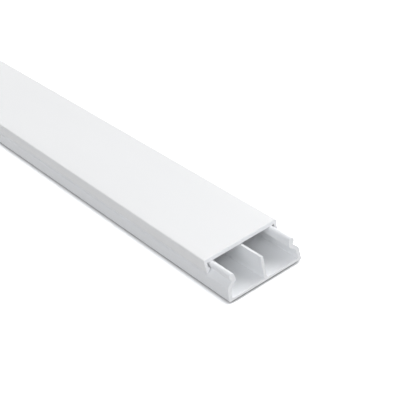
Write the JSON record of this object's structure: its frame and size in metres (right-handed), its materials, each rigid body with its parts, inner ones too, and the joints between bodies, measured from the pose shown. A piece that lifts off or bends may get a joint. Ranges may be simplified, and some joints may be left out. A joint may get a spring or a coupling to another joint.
{
  "type": "cable trunking",
  "caption": "Shallow two-channel cable trunking in white PVC: an extruded base with a centre divider and a clip-on cover that slides along it.",
  "frame": {"origin": "centre of the base's back face, halfway along the base and across it", "axes": "+X across the trunking, +Y along it towards the end that the cover overhangs, +Z out from the wall that it is fixed to"},
  "size_m": [0.032, 2.0114, 0.012],
  "materials": {
    "base_pvc": "satin",
    "cover_pvc": "satin"
  },
  "bodies": {
    "base": {"base": "base_pvc"},
    "cover": {"cover": "cover_pvc"}
  },
  "joints": [
    {"name": "cover_slide", "type": "slide", "parent": "base", "child": "cover", "axis": [0, 1, 0], "range_m": [-2.0114, 1.9886]}
  ]
}
